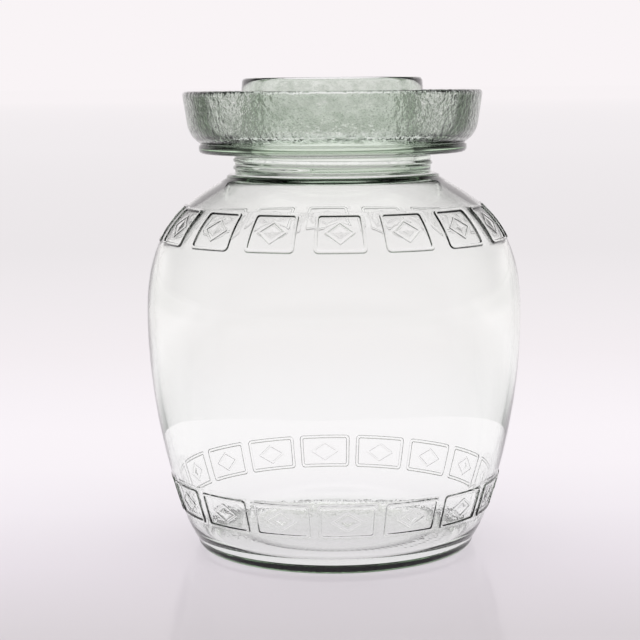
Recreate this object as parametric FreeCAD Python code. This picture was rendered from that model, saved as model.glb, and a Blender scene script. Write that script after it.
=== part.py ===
import FreeCAD, Part
import math
import os

from FreeCAD import Vector

# Clear glass pickling jar, one piece of glass: a bellied body with two bands of raised panels,
# a short thick neck, and a pressed collar whose open trough holds the water that seals the lid.
# Millimetres. The jar stands on the XY plane, its axis is Z, and -Y is its front.

# --- body ---
BELLY_RADIUS = 101.0
BELLY_HEIGHT = 127.0           # height of the widest place
BODY_HEIGHT = 199.5            # from the ground to the foot of the neck
LOWER_RADIUS = 83.0            # where the long curve of the side gives way to the heel
LOWER_HEIGHT = 19.0
SHOULDER_SLOPE = 60.4          # degrees from vertical at the foot of the neck
SHOULDER_FULLNESS = 0.66       # how far the belly's upright run reaches, of the rise to the neck
SHOULDER_SHARPNESS = 0.34      # the same for the slope at the neck
WALL = 3.6                     # at the belly
LOWER_WALL = 4.0               # where the inner heel meets the wall
LOWER_WALL_RISE = 1.0          # height of that place above the outer one

# --- base ---
FOOT_RADIUS = 72.0             # outer edge of the ring that the jar stands on
FOOT_WIDTH = 5.5
HEEL_REACH = 3.6               # from the ring's edge out to the heel
HEEL_HEIGHT = 4.0
PUSH_UP = 9.0                  # hollow under the base, at the axis
BASE_THICKNESS = 4.5
FLOOR_INSET = 10.0             # from the ring's edge in to where the floor turns up

# --- neck ---
NECK_RADIUS = 52.6
NECK_WALL = 8.8                # down to the way in
BORE_FLARE = 8.0               # height over which the bore opens into the shoulder
SHOULDER_BEAD = 4.7            # how far the bead at the foot of the neck stands out
SHOULDER_BEAD_HEIGHT = 2.4
NECK_BEAD = 1.5
NECK_BEAD_WIDTH = 4.0
NECK_BEAD_RISE = 6.1           # above the foot of the neck

# --- collar: foot ring, trough and mouth. A reach starts at the neck's outside, and a rise at
# --- the collar's underside.
COLLAR_RISE = 12.5             # the underside itself, above the foot of the neck
COLLAR_FOOT_REACH = 19.2
COLLAR_FOOT_HEIGHT = 5.2
FOOT_UNDERCUT = 1.2
FOOT_ROUND = 2.4
BOWL_REACH = 25.3              # outside of the trough, where its rounded foot ends
BOWL_RISE = 16.5
RIM_REACH = 27.8
RIM_RISE = 33.6
RIM_WALL = 4.0
TROUGH_WALL = 6.0              # at the floor
TROUGH_FLOOR_RISE = 10.5
TROUGH_ROUND = 5.0
MOUTH_WALL = 4.3               # outwards from the bore
MOUTH_RISE = 40.4
MOUTH_DRAFT = 2.2              # how much wider the mouth tube is at the trough's floor

# --- raised panels ---
PANELS = 16                    # in each band
RIB_WIDTH = 1.9
RIB_HEIGHT = 0.9
RIB_ROOT = 0.5                 # how deep a rib is let into the wall
INNER_RIB_WIDTH = 1.2
STUD_REACH = 2.0               # centre to corner of the small diamond in the middle
UPPER_BAND_DROP = 23.1         # from the foot of the neck down to the middle of the upper band
UPPER_BAND = {"turn": 1.8, "height": BODY_HEIGHT - UPPER_BAND_DROP, "wide": 25.4, "tall": 23.2,
              "corner": 2.4, "rhombus_wide": 16.0, "rhombus_tall": 14.0}
LOWER_BAND = {"turn": 3.7, "height": 30.4, "wide": 30.0, "tall": 19.2, "corner": 2.0,
              "rhombus_wide": 17.6, "rhombus_tall": 11.6}

# --- places that follow from the sizes above ---
PUSH_UP_RADIUS = FOOT_RADIUS - FOOT_WIDTH
HEEL_RADIUS = FOOT_RADIUS + HEEL_REACH
FLOOR_RADIUS = FOOT_RADIUS - FLOOR_INSET
NECK_BORE = NECK_RADIUS - NECK_WALL
MOUTH_RADIUS = NECK_BORE + MOUTH_WALL
NECK_BEAD_HEIGHT = BODY_HEIGHT + NECK_BEAD_RISE
COLLAR_BOTTOM = BODY_HEIGHT + COLLAR_RISE
MOUTH_HEIGHT = COLLAR_BOTTOM + MOUTH_RISE
TROUGH_FLOOR = COLLAR_BOTTOM + TROUGH_FLOOR_RISE
BOWL_END = (NECK_RADIUS + BOWL_REACH, COLLAR_BOTTOM + BOWL_RISE)
RIM = (NECK_RADIUS + RIM_REACH, COLLAR_BOTTOM + RIM_RISE)
COLLAR_FOOT_RADIUS = NECK_RADIUS + COLLAR_FOOT_REACH
SECTOR = 360 / PANELS          # degrees
SECTOR_START = -7.5            # azimuth of a gap between panels in both bands

UP = Vector(0, 0, 1)
ORIGIN = Vector(0, 0, 0)


# --- half sections: every point is a radius and a height ---

def at(radius, height):
    return Vector(radius, 0, height)


def line(start, end):
    return Part.LineSegment(start, end).toShape()


def arc(start, middle, end):
    return Part.Arc(start, middle, end).toShape()


def blend(start, leaving, end, arriving):
    """A smooth curve that leaves start along one handle and reaches end along the other."""
    curve = Part.BezierCurve()
    curve.setPoles([start, start + leaving, end - arriving, end])
    return curve.toShape()


def sweep(start, heading, end):
    """The arc that leaves start along heading and reaches end, and its heading there."""
    chord = end - start
    away = Vector(heading).normalize()
    normal = Vector(-away.z, 0, away.x)
    radius = chord.Length ** 2 / (2 * chord.dot(normal))
    centre = start + normal * radius
    middle = centre + ((start + end) * 0.5 - centre).normalize() * abs(radius)
    along = Vector(chord).normalize()
    return arc(start, middle, end), along * (2 * away.dot(along)) - away


def rounded(before, point, after, radius):
    """A corner's first tangent point, its arc, and its second tangent point."""
    back = (before - point).normalize()
    ahead = (after - point).normalize()
    half = back.getAngle(ahead) / 2
    start = point + back * (radius / math.tan(half))
    end = point + ahead * (radius / math.tan(half))
    centre = point + (back + ahead).normalize() * (radius / math.sin(half))
    middle = centre + (point - centre).normalize() * radius
    return start, arc(start, middle, end), end


def outline(corners):
    """Edges through (point, rounding) pairs. A rounding of 0 keeps a corner sharp."""
    edges = []
    here = corners[0][0]
    for (before, _), (point, radius), (after, _) in zip(corners, corners[1:], corners[2:]):
        if radius:
            start, bend, end = rounded(before, point, after, radius)
            edges += [line(here, start), bend]
            here = end
        else:
            edges.append(line(here, point))
            here = point
    return edges + [line(here, corners[-1][0])]


def loop(points, radius):
    """A closed wire through the points, with every corner rounded."""
    corners = [rounded(points[i - 1], points[i], points[(i + 1) % len(points)], radius)
               for i in range(len(points))]
    edges = []
    for i, (start, bend, _) in enumerate(corners):
        edges += [line(corners[i - 1][2], start), bend]
    return Part.Wire(edges)


# --- the turned form ---

def neck_foot(growth):
    """Where the shoulder meets the bead at the foot of the neck."""
    slope = math.radians(SHOULDER_SLOPE)
    outward = Vector(math.cos(slope), 0, math.sin(slope))
    return at(NECK_RADIUS + SHOULDER_BEAD, BODY_HEIGHT) + outward * growth


def side(growth):
    """The body's side, heel to neck, moved outwards by growth.

    Two arcs go down from the belly to the heel, and one curve goes up to the neck.
    """
    belly = at(BELLY_RADIUS + growth, BELLY_HEIGHT)
    lower = at(LOWER_RADIUS + growth, LOWER_HEIGHT)
    heel = at(HEEL_RADIUS + growth, HEEL_HEIGHT)
    long_arc, heading = sweep(belly, -UP, lower)
    heel_arc, _ = sweep(lower, heading, heel)
    climb = BODY_HEIGHT - BELLY_HEIGHT
    slope = math.radians(SHOULDER_SLOPE)
    uphill = Vector(-math.sin(slope), 0, math.cos(slope))
    shoulder = blend(belly, UP * (SHOULDER_FULLNESS * climb),
                     neck_foot(growth), uphill * (SHOULDER_SHARPNESS * climb))
    return [heel_arc, long_arc, shoulder]


def dome(radius, growth):
    """The push-up's point at that radius, moved into the jar by growth."""
    bow = (PUSH_UP_RADIUS ** 2 + PUSH_UP ** 2) / (2 * PUSH_UP)
    return at(radius, PUSH_UP - bow + math.sqrt((bow + growth) ** 2 - radius ** 2))


def base_edges():
    """Push-up, standing ring and heel, from the axis to the side."""
    ring_start = at(PUSH_UP_RADIUS, 0)
    ring_end = at(FOOT_RADIUS, 0)
    push_up = arc(at(0, PUSH_UP), dome(PUSH_UP_RADIUS / 2, 0), ring_start)
    heel, _ = sweep(ring_end, Vector(1, 0, 0), at(HEEL_RADIUS, HEEL_HEIGHT))
    return [push_up, line(ring_start, ring_end), heel]


def neck_edges():
    """The bead on the shoulder, the neck and its own bead."""
    root = at(NECK_RADIUS, BODY_HEIGHT + SHOULDER_BEAD_HEIGHT)
    crest = neck_foot(0) + Vector(-SHOULDER_BEAD * 0.2, 0, SHOULDER_BEAD_HEIGHT * 0.7)
    bead_start = at(NECK_RADIUS, NECK_BEAD_HEIGHT - NECK_BEAD_WIDTH / 2)
    bead_end = at(NECK_RADIUS, NECK_BEAD_HEIGHT + NECK_BEAD_WIDTH / 2)
    return [
        arc(neck_foot(0), crest, root),
        line(root, bead_start),
        arc(bead_start, at(NECK_RADIUS + NECK_BEAD, NECK_BEAD_HEIGHT), bead_end),
    ]


def collar_edges():
    """Foot ring, trough and mouth, from the neck's bead round to the top of the flare."""
    neck_end = at(NECK_RADIUS, NECK_BEAD_HEIGHT + NECK_BEAD_WIDTH / 2)
    foot_top = COLLAR_BOTTOM + COLLAR_FOOT_HEIGHT
    groove = at(COLLAR_FOOT_RADIUS - FOOT_UNDERCUT, foot_top + FOOT_UNDERCUT / 2)
    foot_ring = outline([
        (neck_end, 0),
        (at(NECK_RADIUS, COLLAR_BOTTOM), 1.0),
        (at(COLLAR_FOOT_RADIUS, COLLAR_BOTTOM + FOOT_ROUND / 3), FOOT_ROUND),
        (at(COLLAR_FOOT_RADIUS, foot_top), FOOT_UNDERCUT / 3),
        (groove, 0),
    ])

    bowl_end = at(*BOWL_END)
    rim_outer = at(*RIM)
    rim_inner = rim_outer - Vector(RIM_WALL, 0, 0)
    bowl, _ = sweep(bowl_end, bowl_end - rim_outer, groove)

    rim_round = RIM_WALL * 0.48
    lip_round = (MOUTH_RADIUS - NECK_BORE) * 0.48
    walls = outline([
        (bowl_end, 0),
        (rim_outer, rim_round),
        (rim_inner, rim_round),
        (at(bowl_end.x - TROUGH_WALL, TROUGH_FLOOR), TROUGH_ROUND),
        (at(MOUTH_RADIUS + MOUTH_DRAFT, TROUGH_FLOOR), TROUGH_ROUND * 0.7),
        (at(MOUTH_RADIUS, MOUTH_HEIGHT), lip_round),
        (at(NECK_BORE, MOUTH_HEIGHT), lip_round),
        (at(NECK_BORE, BODY_HEIGHT + BORE_FLARE), 0),
    ])
    return foot_ring + [bowl] + walls


def inner_edges():
    """The bore's flare, the shoulder, the wall and the floor, down to the axis."""
    shoulder = side(-WALL)[-1]
    bore_end = at(NECK_BORE, BODY_HEIGHT + BORE_FLARE)
    shoulder_top = neck_foot(-WALL)
    slope = math.radians(SHOULDER_SLOPE)
    downhill = Vector(math.sin(slope), 0, -math.cos(slope))
    flare = blend(bore_end, -UP * BORE_FLARE, shoulder_top, downhill * (BORE_FLARE / 2))

    wall_end = at(LOWER_RADIUS - LOWER_WALL, LOWER_HEIGHT + LOWER_WALL_RISE)
    wall, heading = sweep(at(BELLY_RADIUS - WALL, BELLY_HEIGHT), -UP, wall_end)
    floor_edge = dome(FLOOR_RADIUS, BASE_THICKNESS)
    floor = arc(floor_edge, dome(FLOOR_RADIUS / 2, BASE_THICKNESS), dome(0, BASE_THICKNESS))
    reach = (wall_end - floor_edge) * 0.6
    inward = floor.tangentAt(floor.FirstParameter)
    heel = blend(wall_end, heading * reach.z, floor_edge, inward * (reach.x / abs(inward.x)))
    return [flare, shoulder, wall, heel, floor]


def turned(edges):
    """The sector of a turned solid that one panel of each band sits on."""
    face = Part.Face(Part.Wire(Part.__sortEdges__(edges)))
    face.rotate(ORIGIN, UP, SECTOR_START)
    return face.revolve(ORIGIN, UP, SECTOR)


def plain_sector():
    """The jar's sector without its relief."""
    axis = line(at(0, PUSH_UP), at(0, PUSH_UP + BASE_THICKNESS))
    return turned(base_edges() + side(0) + neck_edges() + collar_edges() + inner_edges() + [axis])


# --- the relief ---

def panel_station(height):
    """The side's point at a height and the way up the slope there."""
    level = line(at(0, height), at(2 * BELLY_RADIUS, height))
    edge = min(side(0), key=lambda candidate: candidate.distToShape(level)[0])
    point = edge.distToShape(level)[1][0][0]
    upward = edge.tangentAt(edge.Curve.parameter(point))
    return point, upward if upward.z > 0 else -upward


def panel_ribs(band):
    """The frame, rhombus and stud of one panel, as prisms through the wall at azimuth 0."""
    middle, upward = panel_station(band["height"])
    across = Vector(0, 1, 0)
    outward = Vector(upward.z, 0, -upward.x)

    def spot(along, up):
        return middle + across * along + upward * up

    def frame(inset):
        corners = []
        for up, sides in ((-1, (-1, 1)), (1, (1, -1))):
            rise = up * (band["tall"] / 2 - inset)
            reach = band["wide"] / 2 * (1 + rise * upward.x / middle.x) - inset
            corners += [spot(way * reach, rise) for way in sides]
        return loop(corners, band["corner"] - inset * 0.6)

    def rhombus(wide, tall):
        corners = [spot(wide, 0), spot(0, tall), spot(-wide, 0), spot(0, -tall)]
        return Part.makePolygon(corners + corners[:1])

    wide = band["rhombus_wide"] / 2
    tall = band["rhombus_tall"] / 2
    inner = 1 - INNER_RIB_WIDTH * math.hypot(wide, tall) / (wide * tall)
    through = 3 * WALL
    faces = [
        Part.Face(frame(0)).cut(Part.Face(frame(RIB_WIDTH))),
        Part.Face(rhombus(wide, tall)).cut(Part.Face(rhombus(wide * inner, tall * inner))),
        Part.Face(rhombus(STUD_REACH, STUD_REACH)),
    ]
    prisms = []
    for face in faces:
        face.translate(outward * -through)
        prisms.append(face.extrude(outward * (2 * through)))
    return prisms


def panel_relief(band):
    """One panel's ribs, trimmed to the body's curve and turned to the panel's place."""
    skin_edges = side(RIB_HEIGHT) + side(-RIB_ROOT)
    heel_end = at(HEEL_RADIUS, HEEL_HEIGHT)
    skin_edges.append(line(heel_end + Vector(RIB_HEIGHT, 0, 0), heel_end - Vector(RIB_ROOT, 0, 0)))
    skin_edges.append(line(neck_foot(RIB_HEIGHT), neck_foot(-RIB_ROOT)))
    skin = turned(skin_edges)
    relief = []
    for prism in panel_ribs(band):
        prism.rotate(ORIGIN, UP, band["turn"])
        relief += skin.common(prism).Solids
    return relief


def whole(sector):
    """The sector's surface repeated round the axis and closed into one solid."""
    cuts = [Vector(math.cos(math.radians(a)), math.sin(math.radians(a)), 0)
            for a in (SECTOR_START, SECTOR_START + SECTOR)]
    skin = []
    for face in sector.Faces:
        middle = face.CenterOfMass
        away = [abs(middle.cross(cut).z) for cut in cuts]
        flat = isinstance(face.Surface, Part.Plane)
        if not (flat and min(away) < 1e-6):
            skin.append(face)
    faces = []
    for number in range(PANELS):
        for face in skin:
            copy = face.copy()
            copy.rotate(ORIGIN, UP, number * SECTOR)
            faces.append(copy)
    surface = Part.makeCompound(faces)
    surface.sewShape()
    return Part.Solid(surface.Shells[0])


def main():
    relief = panel_relief(UPPER_BAND) + panel_relief(LOWER_BAND)
    jar = whole(plain_sector().multiFuse(relief))
    os.makedirs("parts", exist_ok=True)
    jar.exportStep("parts/jar.step")


main()
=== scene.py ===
# %% [markdown]
# # A glass pickling jar
#
# The jar is one piece of pressed and blown soda-lime glass. It has a bellied body with two
# bands of raised panels, a short thick neck, and a collar whose open trough holds the water
# that seals the lid. Clear glass shows only what it bends, so this lesson spends its effort
# on two real surfaces, an outer and an inner one, and on what stands around the jar.
#
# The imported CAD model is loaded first. It fixes the size and the place of everything.

import math

import bmesh
import bpy
from mathutils import Matrix, Vector


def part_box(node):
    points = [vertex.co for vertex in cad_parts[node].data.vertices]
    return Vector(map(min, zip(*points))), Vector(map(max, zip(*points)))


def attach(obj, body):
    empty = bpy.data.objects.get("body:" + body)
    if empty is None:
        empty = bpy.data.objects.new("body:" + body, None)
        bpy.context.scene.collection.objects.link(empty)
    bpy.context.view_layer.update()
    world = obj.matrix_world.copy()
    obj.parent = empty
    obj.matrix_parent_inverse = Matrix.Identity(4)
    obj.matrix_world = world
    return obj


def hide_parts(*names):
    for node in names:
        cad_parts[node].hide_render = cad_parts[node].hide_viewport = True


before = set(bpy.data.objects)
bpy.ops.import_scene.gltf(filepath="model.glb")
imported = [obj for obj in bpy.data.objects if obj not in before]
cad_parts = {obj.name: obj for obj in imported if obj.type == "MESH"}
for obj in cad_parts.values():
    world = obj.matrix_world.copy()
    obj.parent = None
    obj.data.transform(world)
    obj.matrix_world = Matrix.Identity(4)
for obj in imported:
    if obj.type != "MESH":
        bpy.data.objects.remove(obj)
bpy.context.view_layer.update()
low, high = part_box("jar")

MM = 0.001
BELLY = high.x / MM            # widest radius, in millimetres
HEIGHT = high.z / MM           # top of the mouth
print(f"jar {2 * BELLY:.1f} mm across, from {low.z / MM:.1f} to {HEIGHT:.1f} mm high")


# %% [markdown]
# ## Drawing half a section
#
# A turned form is easiest to draw as half of its section: a line of points, each a radius and
# a height in millimetres. It could be drawn as a curve by hand, but then no size in it could be
# read or changed. The helpers below do instead what a draughtsman does with a compass. `sweep`
# draws the arc that leaves a point along a heading and reaches another point, `corner` rounds a
# corner, `blend` draws a smooth curve between two headings, and `straight` joins two points.
# Each gives a list of points, so a section is only these lists joined.

# %% Compass helpers
def at(radius, height):
    return Vector((radius, height))


UP = at(0, 1)


def sweep(start, heading, end, steps):
    """Points after start on the arc that leaves along heading, and the heading at the end."""
    chord = end - start
    away = heading.normalized()
    normal = at(-away.y, away.x)
    radius = chord.length_squared / (2 * chord.dot(normal))
    centre = start + normal * radius
    across = chord.normalized()
    arriving = across * (2 * away.dot(across)) - away
    turn = away.angle_signed(arriving)
    points = []
    for step in range(1, steps + 1):
        spoke = (start - centre).copy()
        spoke.rotate(Matrix.Rotation(-turn * step / steps, 2))
        points.append(centre + spoke)
    return points, arriving


quarter, heading = sweep(at(1, 0), UP, at(0, 1), 8)
print(f"a quarter circle: {len(quarter)} points, and then the heading {heading.x:.0f}, "
      f"{heading.y:.0f}")

# %% Rounded corners, smooth curves and straight runs
def corner(before, point, after, radius, steps):
    """Points on the arc that rounds a corner."""
    back = (before - point).normalized()
    ahead = (after - point).normalized()
    half = back.angle(ahead) / 2
    start = point + back * (radius / math.tan(half))
    end = point + ahead * (radius / math.tan(half))
    return [start] + sweep(start, -back, end, steps)[0]


def blend(start, leaving, end, arriving, steps):
    """Points after start on a smooth curve with those two handles."""
    a, b, c, d = start, start + leaving, end - arriving, end
    points = []
    for step in range(1, steps + 1):
        t = step / steps
        s = 1 - t
        points.append(a * s ** 3 + b * 3 * s * s * t + c * 3 * s * t * t + d * t ** 3)
    return points


def straight(start, end, steps):
    """Points after start on the line to end."""
    return [start.lerp(end, step / steps) for step in range(1, steps + 1)]


print(f"a rounded corner: {len(corner(at(0, 0), at(1, 0), at(1, 1), 0.5, 4))} points")

# %% [markdown]
# ## The wall
#
# The body was blown into an iron mould, so its side is two long curves that meet at the belly
# and share one upright tangent there: one falls to a tight arc at the heel, and the other rises
# over the shoulder to the neck. Moved inwards by the glass's thickness, the same drawing gives
# the inner surface later.

# %% The side of the body
BELLY_HEIGHT = 127.0
LOWER = at(83.0, 19.0)         # where the long curve below the belly ends
HEEL = at(75.6, 4.0)           # where the tight arc at the heel ends
HEEL_STEPS = 8
NECK = 52.6                    # outer radius of the neck
NECK_BOTTOM = 199.5
NECK_FOOT = at(NECK + 4.7, NECK_BOTTOM)     # where the shoulder meets the bead round the neck
SHOULDER_SLOPE = math.radians(60.4)         # from upright, at the neck
BELLY_PULL, NECK_PULL = 0.66, 0.34          # handles of the shoulder's curve, by its height
WALL = 3.6                     # thickness of the glass

climb = NECK_BOTTOM - BELLY_HEIGHT
uphill = at(-math.sin(SHOULDER_SLOPE), math.cos(SHOULDER_SLOPE))
outhill = at(math.cos(SHOULDER_SLOPE), math.sin(SHOULDER_SLOPE))


def side(growth, long_steps, shoulder_steps):
    """The side from heel to neck, moved outwards by growth."""
    belly = at(BELLY + growth, BELLY_HEIGHT)
    lower = LOWER + at(growth, 0)
    long_arc, heading = sweep(belly, -UP, lower, long_steps)
    heel_arc, _ = sweep(lower, heading, HEEL + at(growth, 0), HEEL_STEPS)
    shoulder = blend(belly, UP * (BELLY_PULL * climb), NECK_FOOT + outhill * growth,
                     uphill * (NECK_PULL * climb), shoulder_steps)
    return heel_arc[::-1] + [lower] + long_arc[-2::-1] + [belly] + shoulder


wall_line = side(0, 120, 160)
print(f"the wall's line has {len(wall_line)} points, up to {wall_line[-1].y:.1f} mm")


# %% [markdown]
# Both bands of panels are laid on that line, so it also has to answer a question: what is the
# point, and which way is outwards, at a given distance up the wall from a panel's middle? The
# panels could be shrink-wrapped on the wall instead, but a plain answer for each point keeps
# every rib at an even height on a wall that curves two ways.

# %% A panel's place on the wall
class Station:
    """A panel's middle on the wall, with the way up there."""

    def __init__(self, height):
        above = next(i for i, p in enumerate(wall_line) if p.y > height)
        a, b = wall_line[above - 1], wall_line[above]
        self.middle = a.lerp(b, (height - a.y) / (b.y - a.y))
        self.up = (b - a).normalized()
        self.rises = [(p - self.middle).dot(self.up) for p in wall_line]

    def spot(self, rise):
        """The wall's point that far up the slope, and the way out there."""
        i = next(i for i, r in enumerate(self.rises) if r > rise)
        a, b = wall_line[i - 1], wall_line[i]
        share = (rise - self.rises[i - 1]) / (self.rises[i] - self.rises[i - 1])
        before, after = wall_line[i - 2], wall_line[i + 1]
        slope = (b - before).lerp(after - a, share).normalized()
        return a.lerp(b, share), at(slope.y, -slope.x)


print(f"at half the height the wall's radius is {Station(HEIGHT / 2).middle.x:.1f} mm")

# %% [markdown]
# ## The bands
#
# Sixteen panels go round each band. A panel is a raised frame with rounded corners, a raised
# rhombus inside it, and a small diamond in the middle. All of it was cut into the mould, so it
# stands out as soft ribs. The whole jar is divided into 192 columns, twelve for each panel, so
# that the panels join the plain glass above and below without a seam. The two bands are a
# column out of step, as in a mould that is made of two rings.

# %% What the panels measure
PANELS = 16
COLUMNS = 12 * PANELS
COLUMN = math.tau / COLUMNS
FRONT = -math.pi / 2
TWIST = math.radians(1.8)      # from the front to the middle of the nearest upper panel

# millimetres: the middle's height, the frame's outside, its corner, half the rhombus's two
# diagonals, and the plain glass above and below the frame that belongs to the band
BANDS = {
    "upper": {"turn": TWIST, "height": 176.4, "wide": 25.4, "tall": 23.2,
              "corner": 2.4, "rhombus": (8.0, 7.0), "margin": 1.5},
    "lower": {"turn": TWIST + COLUMN, "height": 30.4, "wide": 30.0, "tall": 19.2,
              "corner": 2.0, "rhombus": (8.8, 5.8), "margin": 1.4},
}
for name, band in BANDS.items():
    band["station"] = Station(band["height"])
    band["reach"] = band["tall"] / 2 + band["margin"]
    band["half_sector"] = band["station"].middle.x * math.pi / PANELS
    print(f"{name} band: a panel every {2 * band['half_sector']:.1f} mm")

# %% What the ribs measure
RIB, RIB_LIFT = 1.9, 0.7               # the frame's rib: its width, and how far it stands out
FINE_RIB, FINE_LIFT = 1.2, 0.22        # the rhombus's rib
DIAMOND = 2.0                          # half the small diamond's diagonal
# a rib's outline as pairs: the share of its width, and the share of its lift
RIB_PROFILE = [(-0.08, 0), (0, 0.04), (0.08, 0.45), (0.17, 0.9), (0.3, 1.0), (0.7, 1.0),
               (0.83, 0.9), (0.92, 0.45), (1, 0.04), (1.08, 0)]
print(f"the frame's rib is {RIB} mm wide and {RIB_LIFT} mm high")


# %% [markdown]
# A panel is a set of closed rings, one inside the other, and all with the same number of
# points. The first ring is the panel's outer edge, and each next one is extruded from the one
# before. So the faces between them are clean four-sided ones that follow every rib, which is
# what smooth glass needs. Cutting the ribs with booleans would leave slivers, and those show
# in glass as dark scratches.
#
# The outlines below all start at the right and go round the same way, a quarter at a time, so
# that a point of one ring lies next to the same point of the next.

# %% Outlines with matching points
QUARTER = 12                   # points on a quarter of any outline
ARC = QUARTER // 3             # of which on a rounded corner
WAYS = [Vector((1, 0)), Vector((0, 1)), Vector((-1, 0)), Vector((0, -1))]


def quarters(half_wide, half_tall):
    """Each quarter's two directions, and the middles of the two sides that it joins."""
    half = Vector((half_wide, half_tall))
    for number, first in enumerate(WAYS):
        second = WAYS[(number + 1) % 4]
        yield first, second, first * half, second * half


def leading_to(start, end, count):
    """Points from start on towards end, without end."""
    return [start.lerp(end, step / count) for step in range(count)]


def rectangle(half_wide, half_tall, radius):
    """A rectangle with rounded corners."""
    outline = []
    for first, second, start, end in quarters(half_wide, half_tall):
        pivot = start + end - (first + second) * radius
        outline += leading_to(start, pivot + first * radius, ARC)
        for step in range(ARC):
            angle = math.pi / 2 * step / ARC
            spoke = first * math.cos(angle) + second * math.sin(angle)
            outline.append(pivot + spoke * radius)
        outline += leading_to(pivot + second * radius, end, ARC)
    return outline


# %% The sharp-cornered outlines
def sector_edge(half_wide, half_tall):
    """A panel's outer edge, whose points meet the neighbours' and the columns above."""
    outline = []
    for _, _, start, end in quarters(half_wide, half_tall):
        outline += leading_to(start, start + end, QUARTER // 2)
        outline += leading_to(start + end, end, QUARTER // 2)
    return outline


def rhombus(half_wide, half_tall):
    return [point for _, _, start, end in quarters(half_wide, half_tall)
            for point in leading_to(start, end, QUARTER)]


print(f"each outline has {len(rhombus(1, 1))} points")


# %% [markdown]
# ### The rings of a panel
#
# Ten rings go across each rib, from its outer foot over its crown to its inner foot. The
# frame's corners get tighter further in, as a milling cutter leaves them. The small diamond in
# the middle is a low facet that rises in two steps.

# %% The rings of a panel, from the edge inwards
CORNER_LOSS = 0.6              # of the corner's radius for each millimetre inwards
LEAST_CORNER = 0.4
DIAMOND_EDGE = 0.7             # the slope around the diamond
DIAMOND_STEP = 0.7             # share of the lift at the top of that slope
DIAMOND_CROWN = 0.5            # share of the diamond that is flat


def rib_rings(outline_at, width, lift):
    """Rings across a rib from its outer foot to its inner foot: (outline, lift) pairs."""
    return [(outline_at(share * width), lift * height) for share, height in RIB_PROFILE]


def panel_rings(band):
    """All of a panel's rings from its edge to its middle: (outline, lift) pairs."""
    half_wide, half_tall = band["wide"] / 2, band["tall"] / 2
    wide, tall = band["rhombus"]
    slant = math.hypot(wide, tall)

    def framed(inset):
        radius = max(band["corner"] - inset * CORNER_LOSS, LEAST_CORNER)
        return rectangle(half_wide - inset, half_tall - inset, radius)

    def diamond(inset):
        return rhombus(wide - inset * slant / tall, tall - inset * slant / wide)

    rings = [(sector_edge(band["half_sector"], band["reach"]), 0)]
    rings += rib_rings(framed, RIB, RIB_LIFT)
    inner_frame, outer_rhombus = framed(RIB), diamond(0)
    rings += [([a.lerp(b, share) for a, b in zip(inner_frame, outer_rhombus)], 0)
              for share in (0.33, 0.67)]
    rings += rib_rings(diamond, FINE_RIB, FINE_LIFT)
    for half, lift in ((DIAMOND + DIAMOND_EDGE, 0), (DIAMOND, FINE_LIFT * DIAMOND_STEP),
                       (DIAMOND * DIAMOND_CROWN, FINE_LIFT)):
        rings.append((rhombus(half, half), lift))
    return rings


print(f"a panel has {len(panel_rings(BANDS['upper']))} rings")


# %% [markdown]
# ### Growing a panel
#
# The first ring is a circle from Blender, and its points are moved to the panel's edge on the
# wall. Each next ring is an extrusion of the last one's edges. An extrusion keeps the order of
# the points, so the faces never twist, as they may between two loops that are bridged. The
# last ring is closed with a face. Then the whole panel is spun into sixteen copies.

# %% Laying a flat drawing on the wall, and the next ring
def on_wall(band, across, rise, lift):
    """A point of a panel's flat drawing, laid on the round wall."""
    station = band["station"]
    point, out = station.spot(rise)
    point = point + out * lift
    angle = FRONT + band["turn"] + across / station.middle.x
    return Vector((point.x * math.cos(angle), point.x * math.sin(angle), point.y))


def next_ring(bm, ring, edges):
    """Extrude a ring of edges, and give the new ring in the same order."""
    made = bmesh.ops.extrude_edge_only(bm, edges=edges)["geom"]
    fresh = {item for item in made if isinstance(item, bmesh.types.BMVert)}
    ends = [edge.other_vert(vert) for vert in ring for edge in vert.link_edges
            if edge.other_vert(vert) in fresh]
    edges = [item for item in made if isinstance(item, bmesh.types.BMEdge)
             and fresh.issuperset(item.verts)]
    return ends, edges


middle = on_wall(BANDS["upper"], 0, 0, 0)
print(f"the front panel's middle: {middle.x:.1f}, {middle.y:.1f}, {middle.z:.1f} mm")

# %% A band of panels
def add_band(bm, band):
    """One panel grown ring by ring, then repeated round the jar."""
    before = set(bm.faces)
    ring = bmesh.ops.create_circle(bm, segments=4 * QUARTER, radius=1, cap_ends=False)["verts"]
    edges = list({edge for vert in ring for edge in vert.link_edges})
    for number, (outline, lift) in enumerate(panel_rings(band)):
        if number:
            ring, edges = next_ring(bm, ring, edges)
        for vert, place in zip(ring, outline):
            vert.co = on_wall(band, place.x, place.y, lift)
    bmesh.ops.holes_fill(bm, edges=edges)
    panel = [face for face in bm.faces if face not in before]
    pieces = {part for face in panel for part in (*face.edges, *face.verts)}
    bmesh.ops.spin(bm, geom=panel + list(pieces), cent=(0, 0, 0), axis=(0, 0, 1), dvec=(0, 0, 0),
                   angle=math.tau, steps=PANELS, use_merge=False, use_normal_flip=False,
                   use_duplicate=True)
    print(f"a panel has {len(panel)} faces")


# %% [markdown]
# ## The plain glass
#
# The rest of the jar is turned. Its section starts on the axis under the base, goes out and up
# to the lower band, skips the band, goes on to the upper band, skips that too, and then runs up
# the neck, round the collar and the mouth, and back down the inside to the axis. The plain belt
# between the two bands comes first, because it is only a part of the wall's line.

# %% The belt between the bands
def along_wall(first, last, count):
    """Points on the side between two heights."""
    points = []
    for step in range(count + 1):
        height = first + (last - first) * step / count
        above = next(i for i, p in enumerate(wall_line) if p.y >= height - 1e-9)
        a, b = wall_line[max(above - 1, 0)], wall_line[above]
        share = (height - a.y) / (b.y - a.y) if b.y > a.y else 0
        points.append(a.lerp(b, share))
    return points


def band_edge(band, way):
    return band["station"].spot(way * band["reach"])[0]


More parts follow.
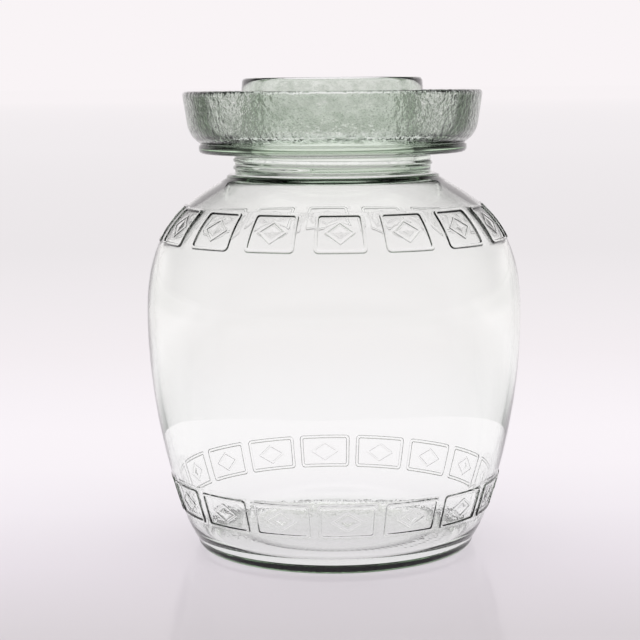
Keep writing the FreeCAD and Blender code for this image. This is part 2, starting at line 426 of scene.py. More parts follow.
lower_bottom, lower_top = band_edge(BANDS["lower"], -1), band_edge(BANDS["lower"], 1)
upper_bottom, upper_top = band_edge(BANDS["upper"], -1), band_edge(BANDS["upper"], 1)
belt = [lower_top] + along_wall(lower_top.y, upper_bottom.y, 44)[1:-1] + [upper_bottom]
print(f"belt from {lower_top.y:.1f} to {upper_bottom.y:.1f} mm")


# %% [markdown]
# ### The base
#
# A jar stands on a narrow flat ring, and its middle is pushed up into a dome, so that it
# doesn't rock and cools evenly. Rows of small dots are pressed into the ring and the edge of
# the dome, where the hot glass rested on the mould. The section only gives each row of dots
# its own circle of points here, and the dots are pressed later.

# %% The base
PUSH_UP = 9.0                  # height of the dome
PUSH_UP_RADIUS = 66.5          # where the dome meets the standing ring
FOOT_RADIUS = 72.0             # outer edge of the standing ring
BOW = (PUSH_UP_RADIUS ** 2 + PUSH_UP ** 2) / (2 * PUSH_UP)     # radius of the dome's arc

# radius and height of each row of dots: four on the dome and three on the standing ring
STIPPLE_ROWS = {53.2: 0.7, 57.2: 0.7, 61.2: 0.7, 65.2: 0.5, 67.6: 0.35, 69.3: 0.35, 71.0: 0.35}
BETWEEN_ROWS = [51.2, 55.2, 59.2, 63.2, PUSH_UP_RADIUS, 68.45, 70.15, FOOT_RADIUS]
PLAIN_MIDDLE = [0, 5, 14, 24, 34, 43]


def dome(radius, growth):
    """The push-up's point at that radius, moved into the jar by growth."""
    return at(radius, PUSH_UP - BOW + math.sqrt((BOW + growth) ** 2 - radius ** 2))


def bottom(radius):
    """The underside's point at that radius: on the dome, or on the flat standing ring."""
    return dome(radius, 0) if radius < PUSH_UP_RADIUS else at(radius, 0)


base = [bottom(radius) for radius in sorted([*PLAIN_MIDDLE, *STIPPLE_ROWS, *BETWEEN_ROWS])]
base += sweep(at(FOOT_RADIUS, 0), at(1, 0), HEEL, HEEL_STEPS)[0]
base += along_wall(HEEL.y, lower_bottom.y, 10)[1:-1] + [lower_bottom]
print(f"base: {len(base)} points, dome {PUSH_UP} mm high")


# %% [markdown]
# ### The neck
#
# Where the body ends, a rounded bead runs round the foot of the neck. The neck itself is
# upright and very thick, and a low thread winds round it. It gets close rows of points here,
# so that the thread can rise out of them later.

# %% The neck
# how the bead turns in from the shoulder's end to the neck
BEAD = [(-0.05, 0.8), (-0.5, 1.45), (-1.2, 1.95), (-2.4, 2.3), (-3.6, 2.45)]
BEAD_TOP = at(NECK, NECK_BOTTOM + 2.4)
FIRST_ROW, ROW, ROWS = 202.6, 0.36, 24      # the lowest row's height, their distance and number

neck = [upper_top] + along_wall(upper_top.y, NECK_BOTTOM, 8)[1:-1] + [NECK_FOOT]
neck += [NECK_FOOT + at(*step) for step in BEAD] + [BEAD_TOP + at(0.3, 0.2)]
neck += [at(NECK, FIRST_ROW + ROW * row) for row in range(ROWS)]
print(f"neck: {len(neck)} points, {2 * NECK} mm across")


# %% [markdown]
# ### The collar
#
# The collar is a bowl that grew out of the same hot glass. Under it lies a foot ring with a
# groove above it, and its outer wall leans out to a thick, round rim. Each corner is an arc of
# its own, because a rounded corner of glass gathers the light into the thin bright and dark
# lines that the eye takes for thickness.

# %% The collar's foot ring and bowl
COLLAR_BOTTOM = 212.0
COLLAR_FOOT = 71.8             # outer radius of the foot ring
FOOT_TOP = COLLAR_BOTTOM + 5.2
GROOVE = at(COLLAR_FOOT - 1.2, FOOT_TOP + 0.6)
BOWL_END = at(77.9, 228.5)     # where the bowl's curve turns into its straight wall
RIM = at(80.4, 245.6)          # the rim's outer corner, before it is rounded
UNDERCUT_ROUND, FOOT_ROUND, SHELF_ROUND = 1.0, 2.4, 0.5

under = at(NECK, COLLAR_BOTTOM)
foot = at(COLLAR_FOOT, COLLAR_BOTTOM + 0.8)
shelf = at(COLLAR_FOOT, FOOT_TOP)
collar = corner(neck[-1], under, foot, UNDERCUT_ROUND, 4)
collar += straight(collar[-1], foot + at(-2.6, -0.1), 5)
collar += corner(under, foot, shelf, FOOT_ROUND, 6)[1:]
collar += corner(foot, shelf, GROOVE, SHELF_ROUND, 3) + [GROOVE]
bowl, _ = sweep(BOWL_END, BOWL_END - RIM, GROOVE, 9)
collar += bowl[-2::-1] + [BOWL_END]
print(f"collar: {len(collar)} points up to the rim's wall, {2 * RIM.x:.0f} mm across the rim")


# %% [markdown]
# ### The trough and the mouth
#
# Behind the rim the trough goes down to a flat floor, and on its inner side the mouth's tube
# stands up, a little higher than the rim, so that no water runs into the jar. All of that is a
# line of straight runs with rounded corners, so it is written as a table.

# %% The trough and the mouth
RIM_WALL = 4.0                 # thickness of the collar at its rim
RIM_ROUND = 1.92               # a little under half of that, so the rim is almost a half circle
TROUGH_FLOOR = 222.5
MOUTH = 48.1                   # outer radius of the tube
BORE = 43.8                    # its inner radius
LIP_ROUND = 2.06

rim_in = at(RIM.x - RIM_WALL, RIM.y)
trough_out = at(BOWL_END.x - 6.0, TROUGH_FLOOR)
trough_in = at(MOUTH + 2.2, TROUGH_FLOOR)
mouth_out = at(MOUTH, HEIGHT)
mouth_in = at(BORE, HEIGHT)
bore_end = at(BORE, NECK_BOTTOM + 8)
# three points, the radius and steps of the arc at the middle one, and steps of the run to it
for before, point, after, radius, steps, run in (
        (BOWL_END, RIM, rim_in, RIM_ROUND, 5, 5),
        (RIM, rim_in, trough_out, RIM_ROUND, 5, 0),
        (rim_in, trough_out, trough_in, 5.0, 6, 6),
        (trough_out, trough_in, mouth_out, 3.5, 5, 5),
        (trough_in, mouth_out, mouth_in, LIP_ROUND, 5, 7),
        (mouth_out, mouth_in, bore_end, LIP_ROUND, 5, 0)):
    rounded = corner(before, point, after, radius, steps)
    if run:
        collar += straight(collar[-1], rounded[0], run)
        rounded = rounded[1:]
    collar += rounded
collar += straight(collar[-1], bore_end, 12)
print(f"trough {RIM.y - TROUGH_FLOOR:.1f} mm deep, bore {2 * BORE} mm")


# %% [markdown]
# ### The inside
#
# Clear glass needs its real inner surface, because each ray is bent where it goes in and again
# where it comes out. A solidify modifier would push every rib of the outer face inwards too.
# The real inside is smooth, since air blew it, so it is drawn on its own: the bore widens into
# the shoulder, the wall keeps its thickness, and a soft curve leads onto the domed floor.

# %% The inside
BASE_THICKNESS = 4.5
FLOOR_RADIUS = 62.0            # where the floor's dome begins
WALL_END = at(79.0, 20.0)      # where the inner wall turns towards the floor
FLOOR_PULL = 0.6               # handles of that turn, by its width and its height
SHOULDER_STEPS = 18

downhill = at(math.sin(SHOULDER_SLOPE), -math.cos(SHOULDER_SLOPE))
inner_shoulder = side(-WALL, 1, SHOULDER_STEPS)[-SHOULDER_STEPS - 1:]
inside = blend(bore_end, -UP * 8, inner_shoulder[-1], downhill * 4, 7)
inside += inner_shoulder[-2::-1]
inner_wall, heading = sweep(at(BELLY - WALL, BELLY_HEIGHT), -UP, WALL_END, 26)
inside += inner_wall

floor_edge = dome(FLOOR_RADIUS, BASE_THICKNESS)
inward = (dome(FLOOR_RADIUS - 1, BASE_THICKNESS) - floor_edge).normalized()
pull = (WALL_END - floor_edge) * FLOOR_PULL
inside += blend(WALL_END, heading * pull.y, floor_edge, inward * pull.x, 14)
inside += [dome(radius, BASE_THICKNESS) for radius in (56, 50, 43, 36, 28, 20, 12, 5, 0)]
top = neck + collar + inside
print(f"section: {len(base)} + {len(belt)} + {len(top)} points")


# %% [markdown]
# ## Turning the glass
#
# The three parts of the section are spun round the axis, as on a lathe, in 192 steps. The spin
# starts on the border of two panels, so that its columns meet the panels' points. The bands
# are added, and points that lie together are merged, which closes the glass. A count of edges
# without two faces shows whether it is really closed, because an open shell can't hold a
# volume of glass.

# %% Turning the section
def turn(bm, section):
    verts = [bm.verts.new((p.x, 0, p.y)) for p in section]
    edges = [bm.edges.new(pair) for pair in zip(verts, verts[1:])]
    spin_start = Matrix.Rotation(FRONT + TWIST + math.pi / PANELS, 4, "Z")
    bmesh.ops.transform(bm, matrix=spin_start, verts=verts)
    bmesh.ops.spin(bm, geom=verts + edges, cent=(0, 0, 0), axis=(0, 0, 1), dvec=(0, 0, 0),
                   angle=math.tau, steps=COLUMNS, use_merge=True, use_normal_flip=False,
                   use_duplicate=False)


bm = bmesh.new()
for section in (base, belt, top):
    turn(bm, section)
for band in BANDS.values():
    add_band(bm, band)

# %% Closing the glass
SAME_POINT = 0.004             # millimetres: the points of a panel's edge and of a column
bmesh.ops.remove_doubles(bm, verts=bm.verts, dist=SAME_POINT)
bmesh.ops.dissolve_degenerate(bm, edges=bm.edges, dist=1e-5)
bmesh.ops.recalc_face_normals(bm, faces=bm.faces)
open_edges = [edge for edge in bm.edges if len(edge.link_faces) != 2]
triangles = sum(len(face.verts) - 2 for face in bm.faces)
print(f"{len(bm.faces)} faces, {triangles} triangles, {len(open_edges)} open edges, "
      f"volume {bm.calc_volume() / 1000:.0f} cm3")


# %% [markdown]
# ## Stipple
#
# Each dot under the base is one point of the mesh lifted into the glass, and every other point
# of a row is lifted, so the dots stand about 4 mm apart. Real geometry bends the light as the
# dots do, where a bump in the material would vanish from most sides.

# %% Pressing the stipple
ON_ROW = 0.05                  # millimetres by which a point may miss its row


def press_stipple(bm):
    """Lift every other point of each row under the base, as small dimples."""
    pressed = 0
    for vert in bm.verts:
        radius = math.hypot(vert.co.x, vert.co.y)
        row = min(STIPPLE_ROWS, key=lambda row: abs(row - radius))
        if abs(radius - row) > ON_ROW or abs(vert.co.z - bottom(row).y) > ON_ROW:
            continue
        column = round((math.atan2(vert.co.y, vert.co.x) - FRONT - TWIST) / COLUMN)
        if column % 2 == 0:
            vert.co.z += STIPPLE_ROWS[row]
            pressed += 1
    return pressed


print(f"{press_stipple(bm)} dots")


# %% [markdown]
# ## Thread
#
# A low, soft ridge winds down the neck a little more than once. It could be a separate coil,
# but two solids of glass that touch show a false surface between them. So the neck's own
# points are pushed outwards, by a cosine across the ridge, and it fades at both ends.

# %% Winding the thread
THREAD_LIFT = 1.0
THREAD_HALF = 1.75             # half its width
THREAD_PITCH = 4.0
THREAD_HIGH = 209.5            # the height of its upper end
THREAD_START = math.radians(-135)      # from the front to its upper end, at the back left
THREAD_TURN = math.radians(485)
THREAD_FADE = math.radians(25)


def thread_lift(turned, height):
    """How far the thread stands out at that turn and height."""
    if not 0 < turned < THREAD_TURN:
        return 0
    middle = THREAD_HIGH - THREAD_PITCH * turned / math.tau
    off = min(abs(height - middle) / THREAD_HALF, 1)
    fade = min(turned, THREAD_TURN - turned, THREAD_FADE) / THREAD_FADE
    return THREAD_LIFT * fade * math.cos(off * math.pi / 2) ** 2


def wind_thread(bm):
    """Push the neck's points out along the thread, which passes some places twice."""
    for vert in bm.verts:
        radius = math.hypot(vert.co.x, vert.co.y)
        if abs(radius - NECK) > 0.01 or vert.co.z < NECK_BOTTOM:
            continue
        turned = (math.atan2(vert.co.y, vert.co.x) - FRONT - THREAD_START) % math.tau
        lift = thread_lift(turned, vert.co.z) + thread_lift(turned + math.tau, vert.co.z)
        vert.co.x *= 1 + lift / radius
        vert.co.y *= 1 + lift / radius


wind_thread(bm)
print(f"with stipple and thread: volume {bm.calc_volume() / 1000:.0f} cm3")


# %% [markdown]
# ## The jar as an object
#
# Everything so far is in millimetres, and the frame is in metres, so the mesh is scaled and
# the object stays at the origin. All faces are shaded smooth, because poured glass has no
# edge that isn't rounded. The jar rides on the one body of the model, the imported part that
# it replaces is hidden, and it gets the glass material below.

# %% The jar as an object
def new_object(name, bm):
    """An object in the scene that takes over a finished mesh."""
    mesh = bpy.data.meshes.new(name)
    bm.to_mesh(mesh)
    bm.free()
    made = bpy.data.objects.new(name, mesh)
    bpy.context.scene.collection.objects.link(made)
    return made


bmesh.ops.scale(bm, vec=(MM, MM, MM), verts=bm.verts)
for face in bm.faces:
    face.smooth = True
jar = new_object("jar_glass", bm)
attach(jar, "root")
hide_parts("jar")
print(f"{jar.name}: {len(jar.data.vertices)} points and {len(jar.data.polygons)} faces")


# %% [markdown]
# ## Nodes in one line
#
# Materials are written as lines of text here, one node in each. `linear` turns a colour written
# as sRGB hex into the linear values that a shader takes. `add` makes a node of any kind, changes
# its settings, and feeds its inputs in order or by name. A feed is a plain value, a socket, or a
# node, which stands for its first output that is in use. The settings that come back again and
# again get a name of their own.

# %% Colours and nodes
def linear(code):
    """A colour written as sRGB hex, as the linear values that a shader takes."""
    parts = [int(code[i:i + 2], 16) / 255 for i in (1, 3, 5)]
    return tuple(c / 12.92 if c <= 0.04045 else ((c + 0.055) / 1.055) ** 2.4 for c in parts) + (1,)


def add(tree, kind, settings=None, *feeds, **named):
    """A node with its settings, and the values, sockets or nodes that feed its inputs."""
    node = tree.nodes.new(kind)
    for name, value in (settings or {}).items():
        setattr(node, name, value)
    inputs = list(zip([socket for socket in node.inputs if socket.enabled], feeds))
    inputs += [(node.inputs[name.replace("_", " ")], value) for name, value in named.items()]
    for socket, value in inputs:
        if isinstance(value, bpy.types.Node):
            value = next(output for output in value.outputs if output.enabled)
        if isinstance(value, bpy.types.NodeSocket):
            tree.links.new(value, socket)
        else:
            socket.default_value = value
    return node


PLUS, MINUS = {"operation": "ADD"}, {"operation": "SUBTRACT"}
TIMES, DIVIDED_BY = {"operation": "MULTIPLY"}, {"operation": "DIVIDE"}
LARGER, SMALLER = {"operation": "MAXIMUM"}, {"operation": "MINIMUM"}
IS_MORE, IS_LESS = {"operation": "GREATER_THAN"}, {"operation": "LESS_THAN"}
LENGTH = {"operation": "LENGTH"}
SMOOTH = {"interpolation_type": "SMOOTHSTEP"}
print(f"mid grey #808080 is {linear('#808080')[0]:.3f} to a shader")


# %% [markdown]
# ## Glass
#
# The real thing is soda-lime glass, pressed in the collar and blown in the body. It bends light
# with an index of refraction of 1.52, and iron in the sand makes thick places green. Three
# surfaces differ. The body is fire-polished and as smooth as water, apart from slow waves. The
# collar's outside met the iron of the press, which left it hammered all over. Between the lower
# panels the mould chilled the glass, which left a fine mottle.
#
# So the material needs to know where it is. The zones are read from Object coordinates, which
# are metres from the middle of the base: the height, and the distance from the axis. Each zone
# fades in over 1 to 3 mm, since a real texture has no sharp border.

# %% The glass's zones
# pressed and blown soda-lime glass: clear and hard, with sharp highlights and green edges, which
# on the collar and tube are partly painted shade
glass = bpy.data.materials.new("soda-lime glass")
glass.use_nodes = True
tree = glass.node_tree
tree.nodes.clear()
place = add(tree, "ShaderNodeTexCoord").outputs["Object"]
level = add(tree, "ShaderNodeSeparateXYZ", None, place).outputs["Z"]
flat_place = add(tree, "ShaderNodeVectorMath", TIMES, place, (1, 1, 0))
radius = add(tree, "ShaderNodeVectorMath", LENGTH, flat_place)

# the collar's outside, from its foot ring to just under its rim
above_foot = add(tree, "ShaderNodeMapRange", None, level, 0.2175, 0.2205, 0.0, 1.0)
outer_wall = add(tree, "ShaderNodeMapRange", None, radius, 0.064, 0.067, 0.0, 1.0)
below_rim = add(tree, "ShaderNodeMapRange", None, level, 0.2425, 0.2445, 1.0, 0.0)
hammered = add(tree, "ShaderNodeMath", TIMES, above_foot, outer_wall)
outer_zone = add(tree, "ShaderNodeMath", TIMES, hammered, below_rim)

# the mouth's tube, where it stands in the trough
in_trough = add(tree, "ShaderNodeMapRange", None, level, 0.224, 0.226, 0.0, 1.0)
tube = add(tree, "ShaderNodeMapRange", None, radius, 0.0495, 0.0515, 1.0, 0.0)
tube_side = add(tree, "ShaderNodeMath", TIMES, tube, in_trough)
tube_zone = add(tree, "ShaderNodeMath", TIMES, tube_side, below_rim)

# the lower band of panels
in_band = add(tree, "ShaderNodeMapRange", None, level, 0.040, 0.043, 1.0, 0.0)
above_base = add(tree, "ShaderNodeMapRange", None, level, 0.016, 0.019, 0.0, 1.0)
mottled = add(tree, "ShaderNodeMath", TIMES, in_band, above_base)
print(f"{len(tree.nodes)} nodes say where on the jar a point lies")

# %% [markdown]
# ### The skin of the glass
#
# Marks this fine are cheaper as bump than as mesh, and bump bends a refracted ray as well. Each
# pattern's scale is one over its real size, and its height is a real depth. The three heights
# are added up and feed one Bump node at full strength, which then works in metres.

# %% The glass's unevenness
# millimetres across and deep, the first two a little coarser than the real marks, to show
HAMMER_MARK, HAMMER_DEPTH = 2.6316, 0.6
CHILL_MARK, CHILL_DEPTH = 2.0, 0.06
WAVE_LENGTH, WAVE_DEPTH = 45.45, 0.2
HAMMERED_HAZE = 0.03           # roughness: the press leaves the collar a touch less clear

grain = add(tree, "ShaderNodeTexNoise", None, place, Scale=1 / (HAMMER_MARK * MM), Detail=2.0,
            Roughness=0.5)
chill = add(tree, "ShaderNodeTexNoise", None, place, Scale=1 / (CHILL_MARK * MM), Detail=1.0,
            Roughness=0.5)
waves = add(tree, "ShaderNodeTexNoise", None, place, Scale=1 / (WAVE_LENGTH * MM), Detail=0.0)
grain_here = add(tree, "ShaderNodeMath", TIMES, grain, hammered)
grain_height = add(tree, "ShaderNodeMath", TIMES, grain_here, HAMMER_DEPTH * MM)
chill_here = add(tree, "ShaderNodeMath", TIMES, chill, mottled)
chill_height = add(tree, "ShaderNodeMath", TIMES, chill_here, CHILL_DEPTH * MM)
wave_height = add(tree, "ShaderNodeMath", TIMES, waves, WAVE_DEPTH * MM)
both_marks = add(tree, "ShaderNodeMath", PLUS, grain_height, chill_height)
relief = add(tree, "ShaderNodeMath", PLUS, both_marks, wave_height)
bump = add(tree, "ShaderNodeBump", Strength=1.0, Distance=1.0, Height=relief)
haze = add(tree, "ShaderNodeMath", TIMES, hammered, HAMMERED_HAZE)
print(f"hammer marks {HAMMER_MARK:.1f} mm across and {HAMMER_DEPTH} mm deep")

# %% [markdown]
# ### The tone and the painted edge shade of the collar
#
# The collar looks darker and greyer than the body, because its rough outside scatters light
# that would otherwise pass. Thousands of marks would be needed to get all of that from shape,
# so a part of it is painted shade in the colour. Clear glass keeps white, the hammered zone gets
# blotches of a light grey-green, and where the collar and the tube turn away from the eye, a
# Layer Weight node paints a dark green shade over them, in place of the dark edges that thick
# glass shows there. It only knows how the surface faces, so the painted shade holds from all
# sides.

# %% The collar's tone and painted edge shade
BLOTCH = 8.333                 # millimetres across
CLEAR = linear("#FFFFFF")      # takes nothing off the light
TONE_STOPS = [(0.36, "#D0D6CF"), (0.62, "#FAFBFA")]                 # along the noise
# the painted edge shade: a dark green in the colour where the collar and the tube turn edge-on
EDGE_SHADE_STOPS = [(0.42, "#FFFFFF"), (0.49, "#64765F"),                # along Facing: 0 faces the
               (0.62, "#64765F"), (0.74, "#FFFFFF")]                # eye, and 1 is edge-on

blotch = add(tree, "ShaderNodeTexNoise", None, place, Scale=1 / (BLOTCH * MM), Detail=4.0,
             Roughness=0.75)
tone = add(tree, "ShaderNodeValToRGB", None, blotch)
facing = add(tree, "ShaderNodeLayerWeight", None, 0.5)
painted_edge_shade = add(tree, "ShaderNodeValToRGB", None, facing.outputs["Facing"])
for node, stops in ((tone, TONE_STOPS), (painted_edge_shade, EDGE_SHADE_STOPS)):
    elements = node.color_ramp.elements
    for position, code in stops[1:-1]:
        elements.new(position).color = linear(code)
    for end in (0, -1):
        elements[end].position, elements[end].color = stops[end][0], linear(stops[end][1])

toned = add(tree, "ShaderNodeMix", {"data_type": "RGBA"}, outer_zone, CLEAR, tone)
# the edge shade is painted on the collar's outside and on the tube; the colour is the tone times
# that painted shade
edge_shade_zone = add(tree, "ShaderNodeMath", LARGER, tube_zone, outer_zone)
tone_and_edge_shade = add(tree, "ShaderNodeMix", {"data_type": "RGBA", "blend_type": "MULTIPLY"}, edge_shade_zone,
           toned, painted_edge_shade)
print(f"blotches {BLOTCH:.0f} mm across, {len(EDGE_SHADE_STOPS)} stops of depth")

# %% [markdown]
# ### Surface and volume
#
# The surface bends and mirrors, and hardly dulls anything. Apart from the collar's painted
# tone and edge shade, the green isn't painted on it: it comes from Volume Absorption, which
# takes red and blue off each millimetre that a ray spends inside. So thick places and edges turn
# green by themselves, as in real glass.

# %% The glass's surface and volume
shader = add(tree, "ShaderNodeBsdfPrincipled", Base_Color=tone_and_edge_shade, Roughness=haze, IOR=1.52,
             Transmission_Weight=1.0, Normal=bump)
tint = add(tree, "ShaderNodeVolumeAbsorption", Color=linear("#80CE70"), Density=9.0)
add(tree, "ShaderNodeOutputMaterial", Surface=shader, Volume=tint)
jar.data.materials.append(glass)
print(f"{glass.name}: {len(tree.nodes)} nodes")


# %% [markdown]
# ## The studio
#
# Glass shows its surroundings, and in an all-white room a clear jar all but vanishes. So a
# studio has something dark just out of view: each edge of the glass bends the eye to it, and
# gets a dark line. That could be done with black cards, but they would shade the floor too.
# Light Path does it with less. The floor and the world look plain and bright to the camera and
# to soft light, and get darker parts only for rays that the glass has bent or mirrored.
#
# One kind of ray needs a rule of its own. A ray that goes into the front wall, is mirrored
# inside it and comes back out towards the camera's side would carry the bright room into the
# middle of the jar. `turned_back` finds such rays by how often they went through a surface
# and were mirrored, and by their direction.

# %% Rays that are turned back
GLOOM = "#1F4522"              # the dark green around the set, out of view
FEW_WALLS = 3.5                # a ray through fewer surfaces has met only the near wall


def turned_back(tree, path, forward):
    """1 for a ray mirrored inside the first wall and thrown back to the front, otherwise 0."""
    mirrored = add(tree, "ShaderNodeMath", SMALLER, path.outputs["Glossy Depth"], 1.0)
    walls = path.outputs["Transmission Depth"]
    some_wall = add(tree, "ShaderNodeMath", IS_MORE, walls, 0.5)
    few_walls = add(tree, "ShaderNodeMath", IS_LESS, walls, FEW_WALLS)
    near = add(tree, "ShaderNodeMath", TIMES, some_wall, few_walls)
    back = add(tree, "ShaderNodeMapRange", SMOOTH, forward, 0.0, 0.45, 1.0, 0.0)
    near_mirrored = add(tree, "ShaderNodeMath", TIMES, mirrored, near)
    return add(tree, "ShaderNodeMath", TIMES, near_mirrored, back)


print(f"gloom {GLOOM}, which shines at {linear(GLOOM)[1]:.3f} in green")

# %% [markdown]
# ## The floor
#
# The floor is a white sheet that runs on to the horizon. Its white isn't even: a pool of light
# is painted into it, so it is greyer in front of the jar and behind it, and lightest in between.
# It is a grid of one face, with a material that reads the place on it. Near the jar the sheet is
# a real lit surface, so that it keeps the jar's shadow, and far off it glows by itself, because
# no lamp reaches that far.

# %% The floor and its painted pool of light
HALF_FLOOR = 200.0
# metres behind the jar's axis, and the sheet's colour there, which holds a painted pool of light
FLOOR_PAINTED_LIGHT_STOPS = [(-0.9, "#F0EBEE"), (-0.169, "#D8D3D7"), (-0.118, "#E1DBDF"), (-0.046, "#EBE5EC"),
               (0.04, "#F4EFF5"), (0.236, "#FBF7FB"), (0.43, "#F7F3F7"), (0.697, "#F2EDF0"),
               (1.7, "#EBE7E9"), (6.0, "#F0ECEE"), (30.0, "#F8F3F5")]
NEAR, FAR = FLOOR_PAINTED_LIGHT_STOPS[0][0], FLOOR_PAINTED_LIGHT_STOPS[-1][0]

floor_bm = bmesh.new()
bmesh.ops.create_grid(floor_bm, x_segments=1, y_segments=1, size=HALF_FLOOR)
floor = new_object("floor", floor_bm)

# matt white sheet under a painted pool of light: soft, with a faint sheen
paint = bpy.data.materials.new("white floor")
paint.use_nodes = True
floor.data.materials.append(paint)
tree = paint.node_tree
tree.nodes.clear()
place = add(tree, "ShaderNodeTexCoord").outputs["Object"]
path = add(tree, "ShaderNodeLightPath")
behind = add(tree, "ShaderNodeSeparateXYZ", None, place).outputs["Y"]
distance = add(tree, "ShaderNodeVectorMath", LENGTH, place)
along_stops = add(tree, "ShaderNodeMapRange", None, behind, NEAR, FAR)
# the sheet's white with the painted pool of light in it, read along Y; both the lit sheet and its
# glow take it
painted_light_shades = add(tree, "ShaderNodeValToRGB", None, along_stops)
elements = painted_light_shades.color_ramp.elements
for y, code in FLOOR_PAINTED_LIGHT_STOPS[1:-1]:
    elements.new((y - NEAR) / (FAR - NEAR)).color = linear(code)
for end in (0, -1):
    elements[end].color = linear(FLOOR_PAINTED_LIGHT_STOPS[end][1])
print(f"floor with {len(elements)} shades over {FAR - NEAR:.0f} m")

# %% [markdown]
# To the camera the sheet is lit near the jar and glows further off. Through the glass it glows
# a little above white, up to 1.2, because the four surfaces that a ray passes take about that
# much off it. None of this glow falls on the jar as extra lamp light would: it only sets how
# bright the sheet looks through it.

# %% The floor, seen directly and through the glass
THROUGH_GLASS = 0.85           # share of the sheet's glow, seen through the glass

lit = add(tree, "ShaderNodeBsdfPrincipled", Base_Color=painted_light_shades, Roughness=0.12)
glow = add(tree, "ShaderNodeEmission", Color=painted_light_shades, Strength=1.0)
far_off = add(tree, "ShaderNodeMapRange", SMOOTH, distance, 0.4, 1.2, 0.6, 1.0)
direct = add(tree, "ShaderNodeMixShader", None, far_off, lit, glow)

strength = add(tree, "ShaderNodeMapRange", SMOOTH, behind, 1.0, 12.0, 1.2, 0.92)
bright = add(tree, "ShaderNodeEmission", Color=painted_light_shades, Strength=strength)
through = add(tree, "ShaderNodeMixShader", None, THROUGH_GLASS, lit, bright)
seen = add(tree, "ShaderNodeMixShader", None, path.outputs["Is Transmission Ray"], direct,
           through)
print(f"through the glass the floor glows at {THROUGH_GLASS * 1.2:.2f} near and less far away")

# %% [markdown]
# The dark parts come last. Rays that were turned back find gloom beyond the table's edge, and
# so do rays that the glass sends far out to the sides. The camera's own rays never do.

# %% The floor's gloom
TABLE_REACH = 0.27             # metres from the axis

dark = add(tree, "ShaderNodeEmission", Color=linear(GLOOM), Strength=1.0)
beyond = add(tree, "ShaderNodeMath", IS_MORE, distance, TABLE_REACH)
thrown_back = add(tree, "ShaderNodeMath", TIMES, beyond, turned_back(tree, path, behind))
ahead = add(tree, "ShaderNodeMath", DIVIDED_BY, behind, distance)
outlying = add(tree, "ShaderNodeMapRange", SMOOTH, distance, 1.2, 1.9, 0.0, 0.4)
off_axis = add(tree, "ShaderNodeMapRange", SMOOTH, ahead, 0.4, 0.85, 1.0, 0.0)
aside = add(tree, "ShaderNodeMath", TIMES, outlying, off_axis)
unseen = add(tree, "ShaderNodeMath", MINUS, 1.0, path.outputs["Is Camera Ray"])
aside_unseen = add(tree, "ShaderNodeMath", TIMES, aside, unseen)
gloomy = add(tree, "ShaderNodeMath", LARGER, thrown_back, aside_unseen)
surface = add(tree, "ShaderNodeMixShader", None, gloomy, seen, dark)
add(tree, "ShaderNodeOutputMaterial", Surface=surface)
print(f"{paint.name}: {len(tree.nodes)} nodes")


# %% [markdown]
# ## The room around
#
# The world is the rest of the studio: a pale backdrop for the camera, and soft light from all
# round for everything else. For the glass it has a shape. A ray that is mirrored by the near
# wall finds a bright window low down at the back, dimmer to the sides and above. A ray that
# went all the way through finds a wider and lower window, and a softbox overhead.

# %% The window for rays mirrored by the near wall
WINDOW_DROP = 0.33             # how much lower it ends for a ray that went into the glass

world = bpy.data.worlds.new("studio")
bpy.context.scene.world = world
world.use_nodes = True
tree = world.node_tree
tree.nodes.clear()
direction = add(tree, "ShaderNodeTexCoord").outputs["Generated"]
path = add(tree, "ShaderNodeLightPath")
apart = add(tree, "ShaderNodeSeparateXYZ", None, direction)
ahead, upwards = apart.outputs["Y"], apart.outputs["Z"]

mirrored = add(tree, "ShaderNodeMath", SMALLER, path.outputs["Glossy Depth"], 1.0)
few_walls = add(tree, "ShaderNodeMath", IS_LESS, path.outputs["Transmission Depth"], FEW_WALLS)
close = add(tree, "ShaderNodeMath", TIMES, mirrored, few_walls)
sideways = add(tree, "ShaderNodeMapRange", SMOOTH, ahead, 0.4, 0.8, 0.2, 1.0)
# a ray that never went into the glass keeps the window's full height
entered = add(tree, "ShaderNodeMath", SMALLER, path.outputs["Transmission Depth"], 1.0)
drop = add(tree, "ShaderNodeMath", TIMES, entered, -WINDOW_DROP)
raised = add(tree, "ShaderNodeMath", MINUS, upwards, drop)
overhead = add(tree, "ShaderNodeMapRange", SMOOTH, raised, 0.36, 0.53, 1.0, 0.1)
near_window = add(tree, "ShaderNodeMath", TIMES, sideways, overhead)
print(f"{len(tree.nodes)} nodes for the near window")

# %% The window for all other rays, and the softbox
FILL = 0.95                    # what the room gives to the floor as plain soft light

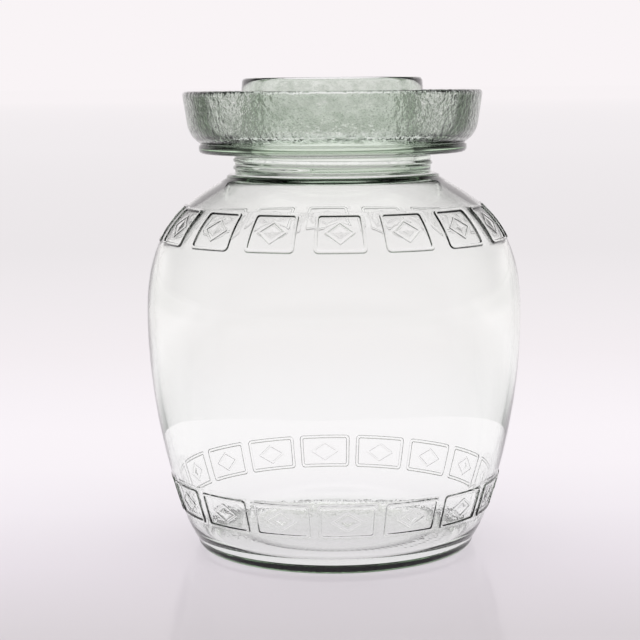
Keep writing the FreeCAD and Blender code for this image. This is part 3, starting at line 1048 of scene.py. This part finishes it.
low_down = add(tree, "ShaderNodeMapRange", SMOOTH, upwards, -0.12, 0.55, 1.0, 0.25)
wide = add(tree, "ShaderNodeMapRange", SMOOTH, ahead, 0.2, 0.75, 0.5, 1.0)
wide_window = add(tree, "ShaderNodeMath", TIMES, low_down, wide)
softbox = add(tree, "ShaderNodeMapRange", SMOOTH, upwards, 0.6, 0.8, 0.0, 0.9)
far_window = add(tree, "ShaderNodeMath", LARGER, wide_window, softbox)
window = add(tree, "ShaderNodeMix", {"data_type": "FLOAT"}, close, far_window, near_window)
fill = add(tree, "ShaderNodeMath", TIMES, path.outputs["Is Diffuse Ray"], FILL)
brightness = add(tree, "ShaderNodeMath", LARGER, window, fill)

backdrop = add(tree, "ShaderNodeBackground", Color=linear("#F9F4F6"), Strength=1.0)
surround = add(tree, "ShaderNodeBackground", Color=linear("#FFFAFC"), Strength=brightness)
gloom = add(tree, "ShaderNodeBackground", Color=linear(GLOOM), Strength=1.0)
around = add(tree, "ShaderNodeMixShader", None, turned_back(tree, path, ahead), surround, gloom)
sky = add(tree, "ShaderNodeMixShader", None, path.outputs["Is Camera Ray"], around, backdrop)
add(tree, "ShaderNodeOutputWorld", Surface=sky)
print(f"{world.name}: {len(tree.nodes)} nodes")


# %% [markdown]
# ## Lamp and camera
#
# One broad, weak area lamp hangs over the jar and a little behind it. It only gives the floor
# a soft direction of light, as the room does the rest. The camera stands a metre away with a
# long lens and looks slightly down, so that the rims show as narrow ovals.

# %% Lamp
lamp_data = bpy.data.lights.new("overhead softbox", "AREA")
lamp_data.shape = "RECTANGLE"
lamp_data.size = lamp_data.size_y = 1.2
lamp_data.energy = 2
lamp = bpy.data.objects.new("overhead softbox", lamp_data)
bpy.context.scene.collection.objects.link(lamp)
lamp.location = (0, 0.3, 1.6)
print(f"{lamp_data.size:.1f} m softbox, {lamp.location.z:.1f} m up")

# %% Camera
LOOKING_DOWN, TILT = 7.6, 0.5          # degrees
camera_data = bpy.data.cameras.new("camera")
camera_data.sensor_width = 36
camera_data.lens = 98.7
camera = bpy.data.objects.new("camera", camera_data)
bpy.context.scene.collection.objects.link(camera)
camera.location = (-0.0065, -0.947, 0.248)
camera.rotation_euler = (math.radians(90 - LOOKING_DOWN), math.radians(TILT), 0)
bpy.context.scene.camera = camera
bpy.context.scene.view_settings.view_transform = "Standard"
print(f"camera {-camera.location.y:.2f} m in front of the jar")
